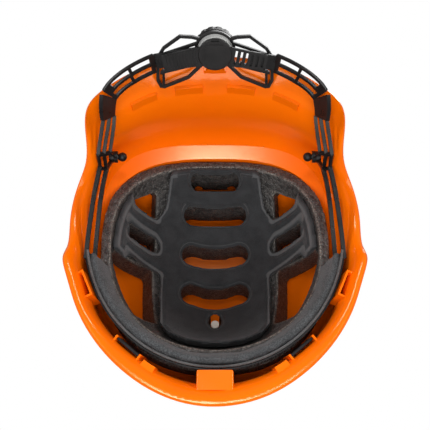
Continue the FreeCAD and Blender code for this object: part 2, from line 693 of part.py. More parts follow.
def flat_outline(points, low, high, corner):
    """A plate in the cradle's X-Z plane, between two depths along the knob's axis."""
    corners = [Vector(x, low, z) for x, z in points]
    solid = Part.Face(Part.makePolygon(corners + corners[:1])).extrude(Vector(0, high - low, 0))
    across = [e for e in solid.Edges if abs(e.tangentAt(e.FirstParameter).y) > 0.99]
    return solid.makeFillet(corner, across) if corner else solid


def rack_window():
    """The crossed gaps that the two size straps slide through."""
    along, across = STRAP_CLEARANCE
    half = RACK_HEIGHT / 2 + across
    bar = box((-RACK_OUTER, LAYER_LEFT[0] - along, -half), (RACK_OUTER, LAYER_RIGHT[1] + along, half))
    return turned(bar, STRAP_TILT).fuse(turned(bar, -STRAP_TILT))


def ratchet_housing():
    """The cup round the pinion, open towards the head and crossed by the two size straps."""
    low = LAYER_LEFT[0] - HOUSING_LIP
    body = disc(HOUSING_RADIUS, low, HOUSING_BACK)
    body = body.cut(disc(HOUSING_RADIUS - HOUSING_WALL, low - PAST, HOUSING_BACK - HOUSING_WALL))
    return on_nape(body.cut([rack_window(), disc(SHAFT_RADIUS + PIN_CLEARANCE, 0, HOUSING_BACK + PAST)]))


def cover_arm():
    """A tapering guide plate over the strap at +X, before it is ribbed or slotted."""
    start, reach, root, tip = COVER_ARM
    outline = [(start, -root), (reach, -tip), (reach, tip), (start, root)]
    return flat_outline(outline, *COVER_LAYER, COVER_ARM_CORNER)


def arm_half_height(at):
    start, reach, root, tip = COVER_ARM
    return root + (tip - root) * (at - start) / (reach - start)


def cover_ribs():
    """Raised ribs across one guide plate."""
    face = COVER_LAYER[0]
    ribs = []
    for index in range(RIB_COUNT):
        at = HOUSING_RADIUS + RIB_START + index * RIB_PITCH
        half = arm_half_height(at) - RIB_SETBACK
        ribs.append(box((at, face - RIB_RISE, -half), (at + RIB_WIDTH, face + RIB_ROOTED, half)))
    return ribs


def cover_slots():
    """Slots across the other guide plate."""
    near, far = COVER_LAYER
    slots = []
    for index in range(SLOT_COUNT):
        at = HOUSING_RADIUS + SLOT_START + index * SLOT_PITCH
        half = arm_half_height(at) - SLOT_SETBACK
        slots.append(box((at, near - PAST, -half), (at + SLOT_WIDTH, far + PAST, half)))
    return slots


def ratchet_cover():
    """The inner cover: a disc with a raised rounded square, and a guide plate each side."""
    face = disc(COVER_RADIUS, 0, COVER_LAYER[1])
    face = face.makeFillet(COVER_EDGE, [e for e in face.Edges if abs(e.CenterOfMass.y) < 1e-6 and e.Closed])
    half_width, half_height, rise, corner = COVER_BOSS
    outline = [(-half_width, -half_height), (half_width, -half_height),
               (half_width, half_height), (-half_width, half_height)]
    boss = flat_outline(outline, -rise, COVER_LAYER[0], corner)
    ribbed = turned(cover_arm().fuse(cover_ribs()), -STRAP_TILT)
    slotted = mirrored(turned(cover_arm().cut(cover_slots()), -STRAP_TILT))
    cover = face.fuse([boss, slotted, ribbed])
    half_width, half_height, depth, distance = COVER_NOTCH
    for z in (-distance, distance):
        cover = cover.cut(box((-half_width, -PAST, z - half_height), (half_width, depth, z + half_height)))
    return on_nape(cover)


def rack_tooth(middle, near, far):
    """One tooth, which hangs from the upper side of a size strap's slot."""
    wide, narrow = RACK_TOOTH
    root = RACK_ROOT + RACK_ROOTED
    outline = [(middle - wide, root), (middle - narrow, RACK_TIP),
               (middle + narrow, RACK_TIP), (middle + wide, root)]
    return flat_outline(outline, near, far, 0.0)


def rack(side):
    """A size strap: a bar with a long toothed slot, made with its outer end at -X."""
    near, far = LAYER_LEFT if side < 0 else LAYER_RIGHT
    low = -RACK_TRAVEL - RACK_END
    bar = box((-RACK_OUTER, near, -RACK_HEIGHT / 2), (RACK_INNER, far, RACK_HEIGHT / 2))
    clear = PITCH_RADIUS + GEAR_MODULE + RACK_CLEARANCE
    bar = bar.cut(box((low, near - PAST, -clear), (RACK_END, far + PAST, RACK_ROOT)))
    pitch = math.pi * GEAR_MODULE
    phase = side * math.radians(STRAP_TILT) * PITCH_RADIUS + pitch / 2
    wide = RACK_TOOTH[0]
    first = math.ceil((low + wide - phase) / pitch)
    last = math.floor((RACK_END - wide - phase) / pitch)
    teeth = [rack_tooth(phase + index * pitch, near, far) for index in range(first, last + 1)]
    bar = bar.fuse(teeth).removeSplitter()
    return on_nape(turned(bar, STRAP_TILT) if side < 0 else turned(turned(bar, 180), -STRAP_TILT))


def drive_pinion():
    """The small gear on its shaft, which reaches back into the knob."""
    wide, narrow = GEAR_TOOTH
    points = []
    for index in range(GEAR_TEETH):
        middle = 2 * math.pi * index / GEAR_TEETH
        for turn, radius in ((-wide, GEAR_ROOT), (-narrow, GEAR_TIP), (narrow, GEAR_TIP), (wide, GEAR_ROOT)):
            points.append((radius * math.sin(middle + turn), radius * math.cos(middle + turn)))
    gear = flat_outline(points, LAYER_LEFT[0] - GEAR_OVERLAP, LAYER_RIGHT[1] + GEAR_OVERLAP, 0.0)
    end = KNOB_LAYER[0] + SHAFT_DEPTH
    shaft = disc(SHAFT_RADIUS, LAYER_RIGHT[1], end)
    return on_nape(gear.fuse(shaft).cut(disc(SCREW_RADIUS + GRIP, SCREW_START - PAST, end + PAST)))


def detent_ring():
    """A sprung ring with two clicking fingers, held in the housing."""
    near, far = DETENT_LAYER
    inner, outer = DETENT_RADII
    body = disc(outer, near, far).cut(disc(inner, near - PAST, far + PAST))
    half_width, tip = DETENT_FINGER
    finger = box((-half_width, near, tip), (half_width, far, (inner + outer) / 2))
    return on_nape(body.fuse([finger, turned(finger, 180)]).removeSplitter())


def scallop(index, low, high):
    """The bite that one finger groove takes out of the knob's edge."""
    radius, outside, start = SCALLOP
    angle = 2 * math.pi * index / SCALLOPS
    centre = Vector(math.sin(angle), 0, math.cos(angle)) * (KNOB_RADIUS + outside)
    return cylinder(radius, centre + Vector(0, low + start, 0), centre + Vector(0, high + PAST, 0))


def adjuster_knob():
    low, high = KNOB_LAYER
    knob = disc(KNOB_RADIUS, low, high)
    rear_edge = [e for e in knob.Edges if e.Closed and abs(e.CenterOfMass.y - high) < 1e-6]
    knob = knob.makeChamfer(KNOB_CHAMFER, rear_edge)
    knob = knob.cut([scallop(index, low, high) for index in range(SCALLOPS)])
    well, depth = SCREW_WELL
    bores = [
        disc(SHAFT_RADIUS + GRIP, low - PAST, low + SHAFT_DEPTH + GRIP),
        disc(well, high - depth, high + PAST),
        disc(SCREW_RADIUS + GRIP, low - PAST, high + PAST),
    ]
    return on_nape(knob.cut(bores))


def knob_screw():
    """The screw that holds the knob on the shaft, with a cross slot in its head."""
    radius, thickness = SCREW_HEAD
    high = KNOB_LAYER[1] - SCREW_SUNK
    screw = disc(radius, high - thickness, high).fuse(disc(SCREW_RADIUS, SCREW_START, high))
    length, width, depth = SCREW_CROSS
    cut = box((-length, high - depth, -width), (length, high + PAST, width))
    return on_nape(screw.cut([cut, turned(cut, 90)]))


def wing_loop():
    """One loop of the butterfly frame: its outline, less the same outline drawn in by the bar's width."""
    near, far = WING_LAYER
    corners = [Vector(x, near, z) for x, z in WING_OUTLINE]
    outer = Part.Face(Part.makePolygon(corners + corners[:1]))
    inner = outer.makeOffset2D(-WING_BAR, 0, False, False, True)
    return outer.cut(inner).extrude(Vector(0, far - near, 0))


def nape_cradle():
    """The butterfly frame on the housing: one loop each side with its inner struts, and a collar."""
    near, far = WING_LAYER
    struts = [flat_outline(outline, near, far, 0.0) for outline in WING_STRUTS]
    frame = pair(wing_loop().fuse(struts))
    collar = disc(HOUSING_RADIUS + COLLAR_WIDTH, near, far)
    bore = disc(HOUSING_RADIUS + GRIP / 2, near - PAST, far + PAST)
    return on_nape(frame.fuse(collar).cut(bore))


# ---------------------------------------------------------------- headlamp clips

def headlamp_clip(side):
    """A springy bar held between its pocket's end walls."""
    a = Vector(*CLIP_LINE[0], 0)
    b = Vector(*CLIP_LINE[1], 0)
    along = (b - a).normalize()
    out = Vector(-along.y, along.x, 0)
    start = a + along * (POCKET_WALL + CLIP_GAP) + out * CLIP_SETBACK
    end = b - along * (POCKET_WALL + CLIP_GAP) + out * CLIP_SETBACK
    corners = (start, end, end + out * CLIP_THICKNESS, start + out * CLIP_THICKNESS)
    low, high = CLIP_HEIGHT
    bar = leaning(prism([(p.x, p.y) for p in corners], low, high), a, b, low, CLIP_LEAN)
    return sided(bar.makeFillet(CLIP_EDGE, bar.Edges), side)


NODES = {
    "outer_shell": outer_shell,
    "eps_liner": eps_liner,
    "crown_pad": crown_pad,
    "crown_pad_plug": crown_pad_plug,
    "forehead_pad": forehead_pad,
    "headband_front": headband_front,
    "pivot_pin_left": lambda: pivot_pin(-1),
    "pivot_pin_right": lambda: pivot_pin(1),
    "side_arm_left": lambda: side_arm(-1),
    "side_arm_right": lambda: side_arm(1),
    "nape_strap_left": lambda: nape_strap(-1),
    "nape_strap_right": lambda: nape_strap(1),
    "nape_cradle": nape_cradle,
    "ratchet_housing": ratchet_housing,
    "ratchet_cover": ratchet_cover,
    "rack_left": lambda: rack(-1),
    "rack_right": lambda: rack(1),
    "drive_pinion": drive_pinion,
    "detent_ring": detent_ring,
    "adjuster_knob": adjuster_knob,
    "knob_screw": knob_screw,
    "headlamp_clip_left": lambda: headlamp_clip(-1),
    "headlamp_clip_right": lambda: headlamp_clip(1),
}

os.makedirs("parts", exist_ok=True)
for name, build in NODES.items():
    shape = build()
    print(f"{name:22s} valid {shape.isValid()} solids {len(shape.Solids)} volume {shape.Volume:9.0f}")
    shape.exportStep(f"parts/{name}.step")
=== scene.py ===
import math

import bmesh
import bpy
from mathutils import Matrix, Vector, kdtree, noise


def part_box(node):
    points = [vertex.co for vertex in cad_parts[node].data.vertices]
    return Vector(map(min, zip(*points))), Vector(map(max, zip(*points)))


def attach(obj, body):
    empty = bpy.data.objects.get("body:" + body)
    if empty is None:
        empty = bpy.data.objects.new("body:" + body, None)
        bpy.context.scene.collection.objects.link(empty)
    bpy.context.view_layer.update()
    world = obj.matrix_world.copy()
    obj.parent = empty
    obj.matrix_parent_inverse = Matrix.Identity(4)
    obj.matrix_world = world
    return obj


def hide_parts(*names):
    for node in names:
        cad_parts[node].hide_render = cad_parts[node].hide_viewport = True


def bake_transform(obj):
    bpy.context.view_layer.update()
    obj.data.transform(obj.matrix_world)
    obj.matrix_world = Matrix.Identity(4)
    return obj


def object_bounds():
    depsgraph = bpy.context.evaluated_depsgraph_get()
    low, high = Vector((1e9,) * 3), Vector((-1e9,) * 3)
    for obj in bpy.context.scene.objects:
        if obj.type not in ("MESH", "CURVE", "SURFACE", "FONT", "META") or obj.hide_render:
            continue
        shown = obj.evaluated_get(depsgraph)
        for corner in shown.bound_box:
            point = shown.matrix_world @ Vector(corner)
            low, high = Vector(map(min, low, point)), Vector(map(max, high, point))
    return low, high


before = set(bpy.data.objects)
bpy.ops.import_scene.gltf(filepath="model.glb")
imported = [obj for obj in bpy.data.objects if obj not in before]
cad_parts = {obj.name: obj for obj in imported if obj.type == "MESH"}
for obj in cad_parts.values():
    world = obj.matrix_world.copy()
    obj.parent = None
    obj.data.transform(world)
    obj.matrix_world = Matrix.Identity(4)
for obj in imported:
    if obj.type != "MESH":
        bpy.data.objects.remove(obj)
cad_low, cad_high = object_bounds()

# Arborist climbing helmet, in metres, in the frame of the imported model:
# +Z to the crown, -Y to the front.

MM = 0.001

# ---- camera and light ----
CAMERA_ELEVATION = 65.0      # degrees below the horizon, in front of the helmet
CAMERA_DISTANCE = 0.95
CAMERA_LENS = 105.8
CAMERA_SENSOR = 36
CAMERA_CLIP = (0.05, 20)
WORLD_SEEN = 1.0             # the background's strength for the camera
WORLD_LIGHT = 0.22           # and as a light
LIGHTS = (                   # name, place, aim, size (along the horizon, upwards), power in watts
    ("key", (0.0, 0.05, -1.15), (0, 0.05, 0.03), (0.26, 0.12), 2.6),
    ("fill", (0.0, -0.85, -0.85), (0, 0.03, 0.03), (1.4, 0.9), 15),
    ("side_left", (-0.80, 0.45, -0.50), (0.09, 0, 0), (0.7, 0.16), 5),
    ("side_right", (0.80, 0.45, -0.50), (-0.09, 0, 0), (0.7, 0.16), 5),
    ("above", (0.20, -0.30, 1.20), (0, 0, 0.05), (0.9, 0.7), 16),
    ("behind", (-0.30, 1.10, 0.45), (0, 0, 0.05), (0.8, 0.6), 8),
)
FLOOR_SIZE = 6
FLOOR_PATCH = 0.4
FLOOR_GAP = 0.2 * MM         # from the floor up to the helmet's lowest point

# ---- colours, as linear RGB ----
ORANGE = (0.97, 0.165, 0.0005, 1)
ORANGE_DEEP = (0.93, 0.145, 0.0005, 1)
GLOSS_TINT = (1.0, 0.82, 0.50, 1)     # of the shell's highlights
BLACK = (0.007, 0.0065, 0.0065, 1)
BLACK_WORN = (0.013, 0.012, 0.012, 1)
FOAM_DARK = (0.020, 0.018, 0.017, 1)
FOAM_BODY = (0.060, 0.054, 0.050, 1)
# colour of the painted glints on the foam's small flakes
FOAM_GLINT_PAINT = (0.14, 0.13, 0.12, 1)
# colour of the painted highlight along the liner's sharp edges
FOAM_EDGE_HIGHLIGHT = (0.30, 0.265, 0.225, 1)
FELT_DARK = (0.022, 0.0225, 0.0235, 1)
FELT_LIGHT = (0.042, 0.043, 0.0455, 1)
FELT_EDGE = (0.115, 0.115, 0.117, 1)
KNIT_DARK = (0.040, 0.042, 0.044, 1)
KNIT_LIGHT = (0.105, 0.108, 0.112, 1)
PIPING_DARK = (0.030, 0.030, 0.031, 1)
PIPING_LIGHT = (0.12, 0.12, 0.12, 1)
HOUSING_GREY = (0.36, 0.36, 0.35, 1)
HOUSING_WORN = (0.42, 0.42, 0.41, 1)
PLUG_GREY = (0.56, 0.50, 0.44, 1)
PLUG_WORN = (0.50, 0.45, 0.40, 1)
ACETAL = (0.60, 0.59, 0.55, 1)
ACETAL_WORN = (0.55, 0.54, 0.50, 1)
STEEL = (0.50, 0.50, 0.51, 1)
STEEL_LIGHT = (0.62, 0.61, 0.58, 1)
FLOOR = (0.80, 0.80, 0.79, 1)
FLOOR_LIGHT = (0.84, 0.84, 0.83, 1)

# ---- meshes ----
WELD = 0.002 * MM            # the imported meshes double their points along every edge
SHARP = 50.0                 # an edge is sharp from this angle, in degrees
EDGE_STEP = 0.8 * MM         # spacing of the points that stand for the sharp edges
BEVEL_ANGLE = 40.0
BEVEL_SEGMENTS = 2
TUBE_SIDES = 8

# ---- soft pieces ----
LINER_VOXEL = 1.7 * MM
BEAD = 3.2 * MM
BEAD_RELIEF = 0.22 * MM
BEAD_FLANK = 3               # steepness of a bead's sides
# width of the painted highlight along the liner's sharp edges
EDGE_HIGHLIGHT_WIDTH = 1.2 * MM
CROWN_VOXEL = 1.5 * MM
CROWN_HEM = 4.2 * MM         # width of the pressed hem along the crown pad's outline
CROWN_SLOT_HEM = 1.5 * MM    # and round its slots
CROWN_HEM_DROP = 1.3 * MM
CROWN_STEP = 1.6 * MM
CROWN_LIP = 0.8 * MM         # width and depth of the rounding at the very edge
CROWN_LIP_DROP = 0.4 * MM
CROWN_FACING = (0.2, 0.4)    # the pressing starts at this cosine and is full after this much more
SLOT_HALF_WIDTH = 30 * MM    # the crown pad's slots lie within this, and between these two y
SLOT_ENDS = (-59 * MM, 67 * MM)
FOREHEAD_VOXEL = 4.0 * MM
FOREHEAD_SHRINK = 1.0 * MM
FOREHEAD_SWELL = 1.6 * MM    # the furthest that the cloth may move a point
CLOTH_PRESSURE = 4.0
CLOTH_FRAMES = 20
PLASTIC_BEVEL = 0.35 * MM
SHELL_BEVEL = 0.7 * MM
PIPING_STEPS = 80
LINK_STEPS = 8
STRAP_END = 5.0 * MM         # a nape strap's ends are drawn out over this length, by these
STRAP_TO_TAB = (0.4 * MM, -1.2 * MM, 0.8 * MM)
STRAP_TO_RACK = (-1.2 * MM, 0.4 * MM, -0.5 * MM)
PIPING_RADIUS = 0.9 * MM
AXIS_Y = -12 * MM            # the shell's upright axis
CROWN_MIDDLE = Vector((0, AXIS_Y, 20 * MM))      # the pad's inner face looks towards this point
RAIL_HALF = 1.5 * MM         # half the width of the flexing links between the rails
RAIL_LINKS = (               # end of a front rail, and start of the arm rail that carries it on
    ((87.9 * MM, 40.4 * MM, 1.1 * MM), (88.7 * MM, 46.0 * MM, -11.3 * MM)),
    ((83.8 * MM, 42.8 * MM, 9.1 * MM), (84.9 * MM, 49.0 * MM, -6.9 * MM)),
)


# ---------------------------------------------------------------- node helpers

class Shade:
    """Short calls that build one material's node tree."""

    def __init__(self, name):
        self.material = bpy.data.materials.new(name)
        self.material.use_nodes = True
        self.tree = self.material.node_tree
        self.shader = self.tree.nodes["Principled BSDF"]
        self.place = self.add("ShaderNodeTexCoord").outputs["Object"]

    def add(self, kind, inputs=None, **settings):
        node = self.tree.nodes.new(kind)
        for name, value in settings.items():
            setattr(node, name, value)
        for name, value in (inputs or {}).items():
            self.put(node.inputs[name], value)
        return node

    def put(self, socket, value):
        if isinstance(value, bpy.types.NodeSocket):
            self.tree.links.new(value, socket)
        else:
            socket.default_value = value

    def set(self, **sockets):
        """Puts values or sockets on the shader; Base_Color stands for Base Color."""
        for name, value in sockets.items():
            self.put(self.shader.inputs[name.replace("_", " ")], value)

    def noise(self, size, detail=2.0, roughness=0.5):
        """Noise whose features are about size metres across."""
        inputs = {"Vector": self.place, "Scale": 1 / size, "Detail": detail, "Roughness": roughness}
        return self.add("ShaderNodeTexNoise", inputs).outputs["Fac"]

    def cells(self, size, feature="F1", output="Distance"):
        inputs = {"Vector": self.place, "Scale": 1 / size}
        return self.add("ShaderNodeTexVoronoi", inputs, feature=feature).outputs[output]

    def ramp(self, value, low, high, first=0.0, last=1.0):
        inputs = {"Value": value, "From Min": low, "From Max": high}
        inputs |= {"To Min": first, "To Max": last}
        return self.add("ShaderNodeMapRange", inputs).outputs["Result"]

    def math(self, operation, a, b):
        node = self.add("ShaderNodeMath", operation=operation)
        self.put(node.inputs[0], a)
        self.put(node.inputs[1], b)
        return node.outputs[0]

    def mix(self, share, first, last):
        node = self.add("ShaderNodeMix", data_type="RGBA")
        self.put(node.inputs["Factor"], share)
        self.put(node.inputs["A"], first)
        self.put(node.inputs["B"], last)
        return node.outputs["Result"]

    def bump(self, height, depth, under=None):
        """A bump of depth metres; under is a bump that it lies on."""
        node = self.add("ShaderNodeBump", {"Height": height, "Distance": depth, "Strength": 1.0})
        if under:
            self.put(node.inputs["Normal"], under)
        return node.outputs["Normal"]


# ---------------------------------------------------------------- materials

def shell_plastic():
    s = Shade("shell_plastic")
    tone = s.ramp(s.noise(60 * MM), 0.35, 0.65)
    peel = s.noise(1.8 * MM, 1.0)
    grain = s.noise(0.25 * MM, 2.0)
    s.set(Base_Color=s.mix(tone, ORANGE, ORANGE_DEEP))
    s.set(Roughness=s.ramp(grain, 0.3, 0.7, 0.12, 0.19))
    s.set(Normal=s.bump(grain, 0.004 * MM, s.bump(peel, 0.02 * MM)))
    s.set(Coat_Weight=0.12, Coat_Roughness=0.10, Specular_IOR_Level=0.45, Specular_Tint=GLOSS_TINT)
    return s.material


def bead_foam():
    s = Shade("bead_foam")
    bead = s.cells(BEAD)
    tint = s.cells(BEAD, output="Color")
    seam = s.cells(BEAD, "DISTANCE_TO_EDGE")
    grain = s.noise(0.5 * MM, 3.0)
    flake = s.cells(0.7 * MM, output="Color")
    shade = s.add("ShaderNodeSeparateColor", {"Color": tint}).outputs["Red"]
    spark = s.add("ShaderNodeSeparateColor", {"Color": flake}).outputs["Green"]
    body = s.mix(s.ramp(shade, 0.2, 1.0), FOAM_DARK, FOAM_BODY)
    # painted glints: the lighter of the small flakes, denser along the beads' seams
    painted_glint = s.math("MULTIPLY", s.ramp(spark, 0.80, 0.92), s.ramp(seam, 0.0, 0.10, 1.0, 0.35))
    # painted highlight along the liner's sharp edges, broken into specks
    edge = s.add("ShaderNodeAttribute", attribute_name="edge_highlight").outputs["Fac"]
    painted_edge_highlight = s.math("MULTIPLY", edge, s.ramp(s.noise(1.1 * MM, 2.0), 0.44, 0.56))
    s.set(Base_Color=s.mix(painted_edge_highlight, s.mix(painted_glint, body, FOAM_GLINT_PAINT), FOAM_EDGE_HIGHLIGHT))
    s.set(Roughness=s.ramp(spark, 0.5, 1.0, 0.62, 0.34))
    height = s.math("SUBTRACT", s.ramp(seam, 0.0, 0.16), s.math("MULTIPLY", bead, 0.4))
    s.set(Normal=s.bump(grain, 0.10 * MM, s.bump(height, 0.35 * MM)))
    s.set(Specular_IOR_Level=0.6)
    return s.material


def felt():
    """The crown pad's brushed fabric; the pad's edge_line attribute holds its pressed border."""
    s = Shade("felt")
    fibre = s.noise(0.45 * MM, 4.0, 0.7)
    nap = s.noise(9 * MM, 3.0, 0.6)
    line = s.add("ShaderNodeAttribute", attribute_name="edge_line").outputs["Fac"]
    tone = s.math("ADD", s.math("MULTIPLY", fibre, 0.6), s.math("MULTIPLY", nap, 0.4))
    cloth = s.mix(s.ramp(tone, 0.36, 0.62), FELT_DARK, FELT_LIGHT)
    s.set(Base_Color=s.mix(s.ramp(line, 0.0, 1.0, 0.0, 0.75), cloth, FELT_EDGE))
    s.set(Roughness=0.95, Sheen_Weight=0.12, Sheen_Roughness=0.5, Specular_IOR_Level=0.12)
    s.set(Normal=s.bump(nap, 0.25 * MM, s.bump(fibre, 0.22 * MM)))
    return s.material


def knit():
    """Fine knitted fabric of the forehead pad."""
    s = Shade("knit")
    loops = s.cells(0.95 * MM)
    fibre = s.noise(0.3 * MM, 3.0, 0.7)
    worn = s.noise(14 * MM, 3.0, 0.6)
    raised = s.math("MULTIPLY", s.ramp(loops, 0.1, 0.7, 1.0, 0.0), 0.55)
    tone = s.math("ADD", raised, s.math("MULTIPLY", worn, 0.5))
    s.set(Base_Color=s.mix(s.ramp(tone, 0.25, 0.8), KNIT_DARK, KNIT_LIGHT))
    s.set(Roughness=0.95, Sheen_Weight=0.15, Sheen_Roughness=0.5, Specular_IOR_Level=0.12)
    s.set(Normal=s.bump(fibre, 0.08 * MM, s.bump(loops, -0.28 * MM)))
    return s.material


def piping_cloth():
    """Woven tape that is folded over the piping."""
    s = Shade("piping_cloth")
    weave = s.noise(0.5 * MM, 3.0, 0.7)
    s.set(Base_Color=s.mix(s.ramp(weave, 0.35, 0.65), PIPING_DARK, PIPING_LIGHT))
    s.set(Roughness=0.8, Sheen_Weight=0.2, Specular_IOR_Level=0.25, Normal=s.bump(weave, 0.12 * MM))
    return s.material


def moulded(name, colour, worn, rough):
    """Moulded plastic: slightly uneven gloss over a fine spark-eroded grain."""
    s = Shade(name)
    grain = s.noise(0.35 * MM, 2.0)
    haze = s.noise(12 * MM, 3.0, 0.6)
    s.set(Base_Color=s.mix(s.ramp(haze, 0.35, 0.7), colour, worn))
    s.set(Roughness=s.ramp(haze, 0.3, 0.7, rough - 0.05, rough + 0.08))
    s.set(Normal=s.bump(grain, 0.012 * MM))
    s.set(Specular_IOR_Level=0.26)
    return s.material


def zinc_steel():
    s = Shade("zinc_steel")
    streak = s.noise(0.3 * MM, 3.0)
    s.set(Base_Color=s.mix(streak, STEEL, STEEL_LIGHT), Metallic=1.0)
    s.set(Roughness=s.ramp(streak, 0.3, 0.7, 0.28, 0.42), Normal=s.bump(streak, 0.01 * MM))
    return s.material


def one_sided_floor():
    """Pale floor, seen from above only, so that the view from below looks past it."""
    s = Shade("pale_floor")
    s.set(Base_Color=s.mix(s.noise(FLOOR_PATCH, 2.0), FLOOR, FLOOR_LIGHT), Roughness=0.7)
    clear = s.add("ShaderNodeBsdfTransparent").outputs[0]
    under = s.add("ShaderNodeNewGeometry").outputs["Backfacing"]
    choice = s.add("ShaderNodeMixShader", {0: under})
    s.put(choice.inputs[1], s.shader.outputs[0])
    s.put(choice.inputs[2], clear)
    s.put(s.tree.nodes["Material Output"].inputs["Surface"], choice.outputs[0])
    return s.material


def dress(obj, material):
    obj.data.materials.clear()
    obj.data.materials.append(material)


# ---------------------------------------------------------------- mesh helpers

def welded_copy(node, name):
    """A free copy of a CAD node's mesh with its doubled points merged."""
    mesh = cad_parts[node].data.copy()
    mesh.name = name
    work = bmesh.new()
    work.from_mesh(mesh)
    bmesh.ops.remove_doubles(work, verts=work.verts, dist=WELD)
    work.to_mesh(mesh)
    work.free()
    obj = bpy.data.objects.new(name, mesh)
    bpy.context.scene.collection.objects.link(obj)
    return obj


def apply_modifiers(obj):
    """Replaces the object's mesh by what its modifiers make of it."""
    graph = bpy.context.evaluated_depsgraph_get()
    mesh = bpy.data.meshes.new_from_object(obj.evaluated_get(graph), depsgraph=graph)
    obj.modifiers.clear()
    obj.data = mesh


def remesh(obj, voxel):
    change = obj.modifiers.new("remesh", "REMESH")
    change.mode = "VOXEL"
    change.voxel_size = voxel
    apply_modifiers(obj)


def smooth(obj, times):
    change = obj.modifiers.new("smooth", "SMOOTH")
    change.iterations = times
    apply_modifiers(obj)


def subdivide(obj, levels=1):
    change = obj.modifiers.new("subdivide", "SUBSURF")
    change.levels = levels
    change.render_levels = levels
    apply_modifiers(obj)


def shade_smooth(obj):
    obj.data.polygons.foreach_set("use_smooth", [True] * len(obj.data.polygons))


def bevelled(obj, width):
    """Small rounded edges, as moulding gives them."""
    change = obj.modifiers.new("weld", "WELD")
    change.merge_threshold = WELD
    change = obj.modifiers.new("bevel", "BEVEL")
    change.width = width
    change.segments = BEVEL_SEGMENTS
    change.limit_method = "ANGLE"
    change.angle_limit = math.radians(BEVEL_ANGLE)
    change.harden_normals = False
    shade_smooth(obj)
    change = obj.modifiers.new("normals", "WEIGHTED_NORMAL")
    change.keep_sharp = False


def edge_tree(node):
    """A search tree of points along a CAD node's sharp edges."""
    source = welded_copy(node, node + "_edges")
    work = bmesh.new()
    work.from_mesh(source.data)
    points = []
    for edge in work.edges:
        if len(edge.link_faces) != 2 or edge.calc_face_angle() < math.radians(SHARP):
            continue
        a, b = (v.co for v in edge.verts)
        steps = max(1, round((b - a).length / EDGE_STEP))
        points += [a.lerp(b, i / steps) for i in range(steps + 1)]
    work.free()
    bpy.data.objects.remove(source)
    tree = kdtree.KDTree(len(points))
    for index, point in enumerate(points):
        tree.insert(point, index)
    tree.balance()
    return tree


def swell(obj, limit):
    """Blows the mesh up as cloth under a little pressure, no point further than limit."""
    rest = [v.co.copy() for v in obj.data.vertices]
    cloth = obj.modifiers.new("cloth", "CLOTH")
    settings = cloth.settings
    settings.quality = 5
    settings.mass = 0.2
    settings.tension_stiffness = 20
    settings.compression_stiffness = 20
    settings.bending_stiffness = 1.5
    settings.use_pressure = True
    settings.uniform_pressure_force = CLOTH_PRESSURE
    settings.effector_weights.gravity = 0
    cloth.collision_settings.use_collision = False
    cloth.collision_settings.use_self_collision = False
    cloth.point_cache.frame_start = 1
    cloth.point_cache.frame_end = CLOTH_FRAMES
    for number in range(1, CLOTH_FRAMES + 1):
        bpy.context.scene.frame_set(number)
    apply_modifiers(obj)
    bpy.context.scene.frame_set(1)
    for vertex, start in zip(obj.data.vertices, rest):
        travel = vertex.co - start
        if travel.length > limit:
            vertex.co = start + travel * (limit / travel.length)


# ---------------------------------------------------------------- pieces

def foam_liner():
    """The liner with its bead relief, and an attribute that holds a painted highlight along its
    sharp edges.
    """
    liner = welded_copy("eps_liner", "foam_liner")
    edges = edge_tree("eps_liner")
    remesh(liner, LINER_VOXEL)
    smooth(liner, 2)
    normals = [v.normal.copy() for v in liner.data.vertices]
    for vertex, normal in zip(liner.data.vertices, normals):
        distances, points = noise.voronoi(vertex.co / BEAD)
        rise = min(1.0, (distances[1] - distances[0]) * BEAD_FLANK) - 1
        vertex.co += normal * (rise * BEAD_RELIEF)
    # painted highlight: full on the liner's sharp edges, fading with the distance from them
    edge_highlight_share = [math.exp(-(edges.find(v.co)[2] / EDGE_HIGHLIGHT_WIDTH) ** 2) for v in liner.data.vertices]
    attribute = liner.data.attributes.new("edge_highlight", "FLOAT", "POINT")
    attribute.data.foreach_set("value", edge_highlight_share)
    shade_smooth(liner)
    dress(liner, bead_foam())
    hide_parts("eps_liner")
    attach(liner, "helmet")


def at_slot(point):
    return abs(point.x) < SLOT_HALF_WIDTH and SLOT_ENDS[0] < point.y < SLOT_ENDS[1]


def hem_profile(distance, hem):
    """Height of the pad's face and lightness of its fabric: a low hem, a step, then the field."""
    step = min(1.0, max(0.0, (distance - hem) / CROWN_STEP))
    rise = step * step * (3 - 2 * step)
    lip = min(1.0, distance / CROWN_LIP)
    lightness = 1.0 - min(1.0, max(0.0, (distance - 0.8 * hem) / (0.5 * CROWN_STEP)))
    fold = math.exp(-((distance - hem) / (0.45 * CROWN_STEP)) ** 2)
    return (rise - 1) * CROWN_HEM_DROP + (lip - 1) * CROWN_LIP_DROP, max(0.0, lightness - fold)


def comfort_pad():
    pad = welded_copy("crown_pad", "comfort_pad")
    edges = edge_tree("crown_pad")
    remesh(pad, CROWN_VOXEL)
    smooth(pad, 3)
    subdivide(pad)
    start, span = CROWN_FACING
    lines = []
    moved = []
    for vertex in pad.data.vertices:
        nearest, index, distance = edges.find(vertex.co)
        facing = -vertex.normal.dot((vertex.co - CROWN_MIDDLE).normalized())
        inside = max(0.0, min(1.0, (facing - start) / span))
        height, lightness = hem_profile(distance, CROWN_SLOT_HEM if at_slot(nearest) else CROWN_HEM)
        moved.append(vertex.co + vertex.normal * (height * inside))
        lines.append(lightness * inside)
    for vertex, place in zip(pad.data.vertices, moved):
        vertex.co = place
    attribute = pad.data.attributes.new("edge_line", "FLOAT", "POINT")
    attribute.data.foreach_set("value", lines)
    shade_smooth(pad)
    dress(pad, felt())
    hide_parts("crown_pad")
    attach(pad, "helmet")


def brow_pad():
    pad = welded_copy("forehead_pad", "brow_pad")
    remesh(pad, FOREHEAD_VOXEL)
    smooth(pad, 2)
    for vertex, normal in [(v, v.normal.copy()) for v in pad.data.vertices]:
        vertex.co -= normal * FOREHEAD_SHRINK
    swell(pad, FOREHEAD_SWELL)
    subdivide(pad, 2)
    shade_smooth(pad)
    dress(pad, knit())
    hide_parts("forehead_pad")
    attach(pad, "helmet")


